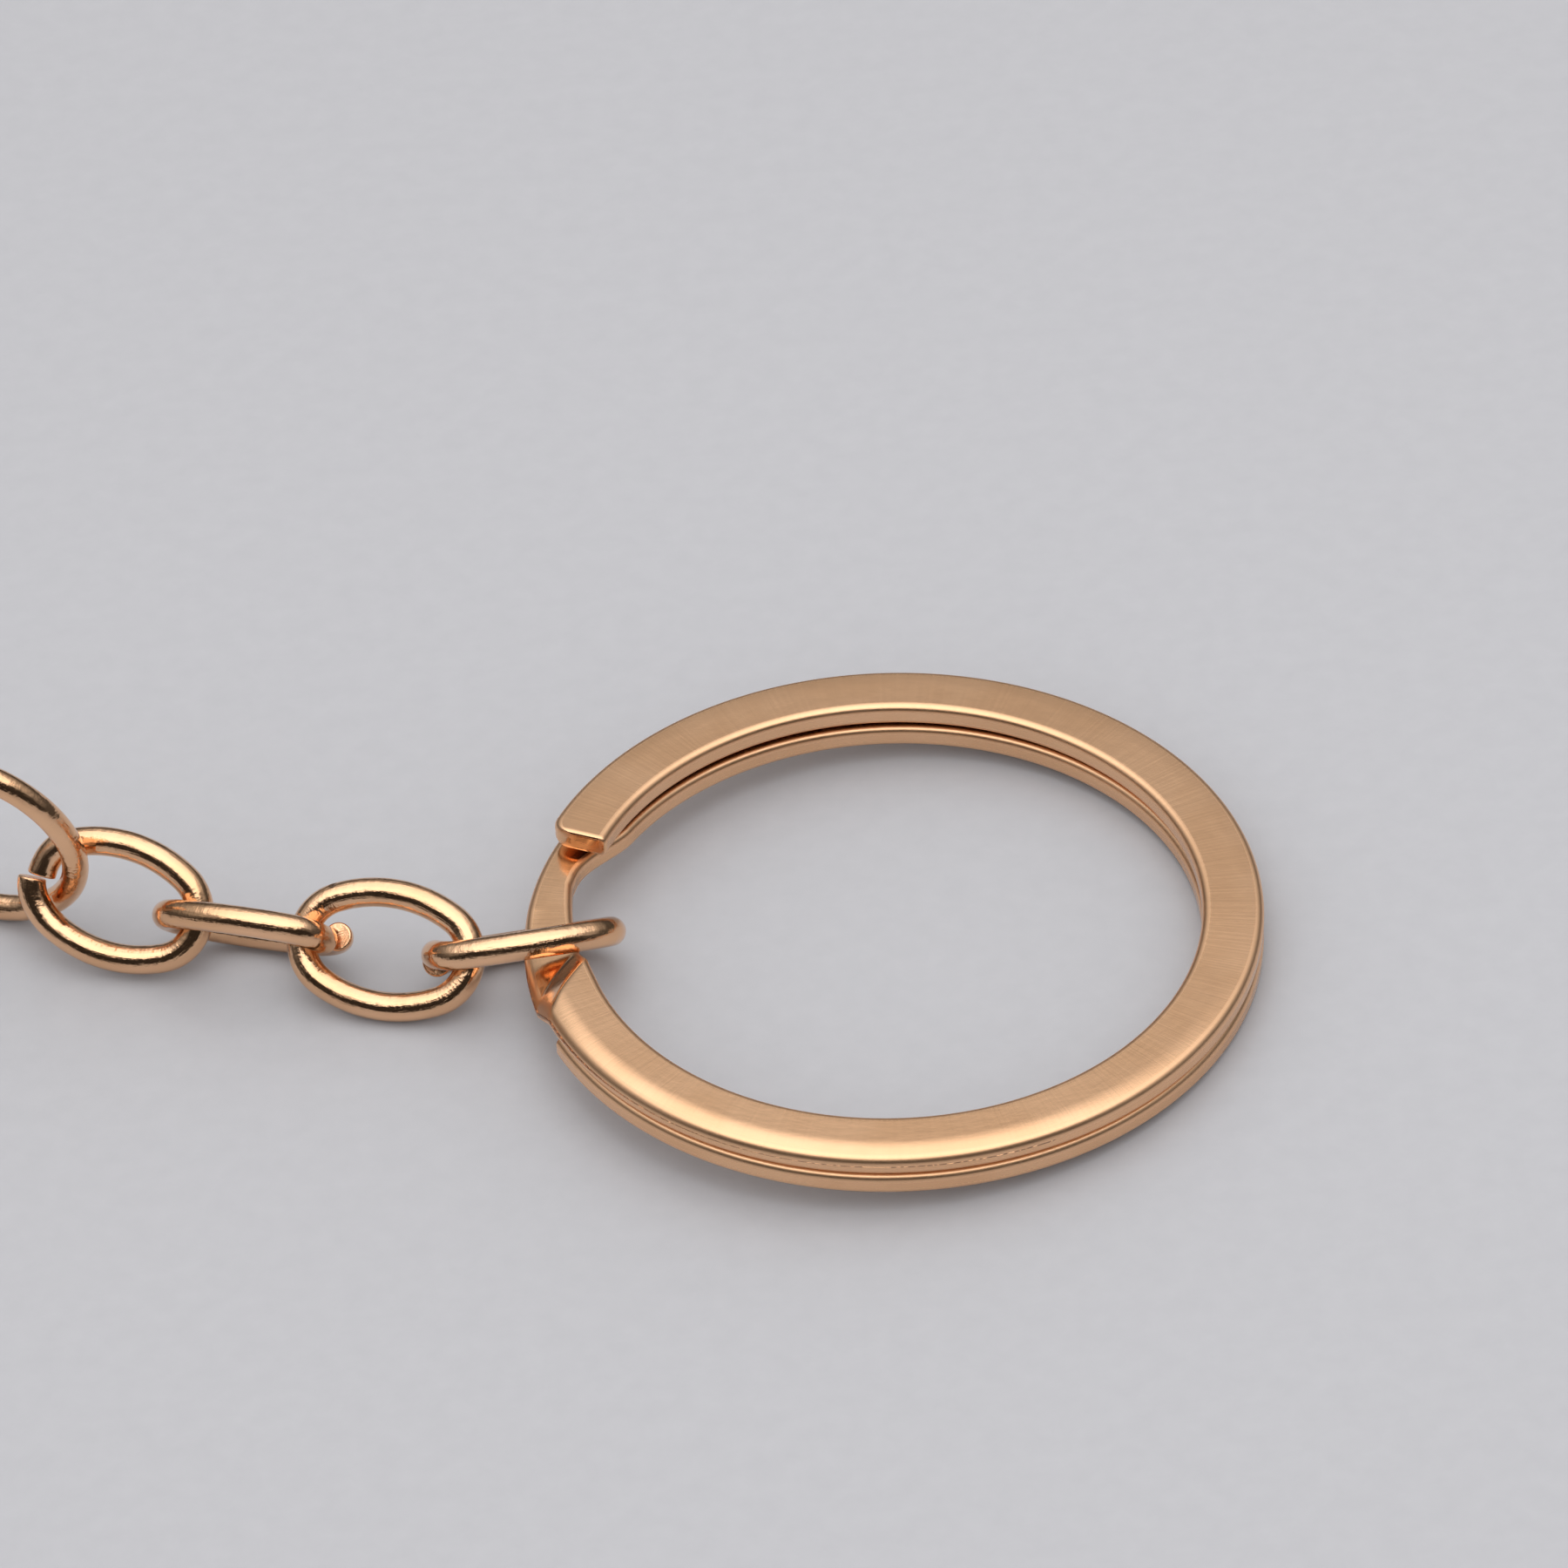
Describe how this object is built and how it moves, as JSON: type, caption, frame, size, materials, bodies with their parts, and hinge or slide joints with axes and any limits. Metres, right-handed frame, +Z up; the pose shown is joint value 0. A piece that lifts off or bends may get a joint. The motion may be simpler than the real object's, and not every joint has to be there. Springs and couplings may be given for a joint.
{
  "type": "split key ring with chain",
  "caption": "Rose-gold flat split ring wound in two turns, with a short oval-link chain and a round wire end ring.",
  "frame": {"origin": "on the table, under the centre of the split ring", "axes": "+Z up from the table; -X runs from the split ring along the chain; +Y completes a right-handed frame and points away from the side with the step"},
  "size_m": [0.0576, 0.03, 0.0102],
  "materials": {
    "rose_gold_strip": "rose-gold plated, rolled flat strip with a satin face and bright edges",
    "rose_gold_wire": "rose-gold plated, polished round wire"
  },
  "bodies": {
    "strip": {"lower_coil": "rose_gold_strip", "joggle": "rose_gold_strip", "upper_coil_fixed": "rose_gold_strip"},
    "free_coil": {"upper_coil_free": "rose_gold_strip"},
    "link_1": {"link_1": "rose_gold_wire"},
    "link_2": {"link_2": "rose_gold_wire"},
    "link_3": {"link_3": "rose_gold_wire"},
    "link_4": {"link_4": "rose_gold_wire"},
    "end_ring": {"end_ring": "rose_gold_wire"}
  },
  "joints": [
    {"name": "coil_flex", "type": "hinge", "parent": "strip", "child": "free_coil", "pos_m": [0.01381, -0.00598, 0.00104], "axis": [0.3981, 0.9171, -0.0223], "range_deg": [-0.5, 7], "stiffness_Nm_per_rad": 0.2},
    {"name": "link_1_swing", "type": "hinge", "parent": "strip", "child": "link_1", "pos_m": [-0.01372, 0.0004, 0.002], "axis": [0, 0.7071, 0.7071], "range_deg": [-45, 40]},
    {"name": "link_2_swing", "type": "hinge", "parent": "link_1", "child": "link_2", "pos_m": [-0.01853, 0.00002, 0.00208], "axis": [0.0801, -0.7618, 0.6428], "range_deg": [-45, 55]},
    {"name": "link_3_swing", "type": "hinge", "parent": "link_2", "child": "link_3", "pos_m": [-0.02397, 0.00185, 0.0024], "axis": [0.265, 0.6699, 0.6936], "range_deg": [-50, 50]},
    {"name": "link_4_swing", "type": "hinge", "parent": "link_3", "child": "link_4", "pos_m": [-0.02953, 0.00387, 0.00223], "axis": [-0.2442, -0.6093, 0.7544], "range_deg": [-45, 45]},
    {"name": "end_ring_swing", "type": "hinge", "parent": "link_4", "child": "end_ring", "pos_m": [-0.03497, 0.00606, 0.00327], "axis": [-0.3357, -0.9224, -0.1908], "range_deg": [-20, 20]}
  ]
}
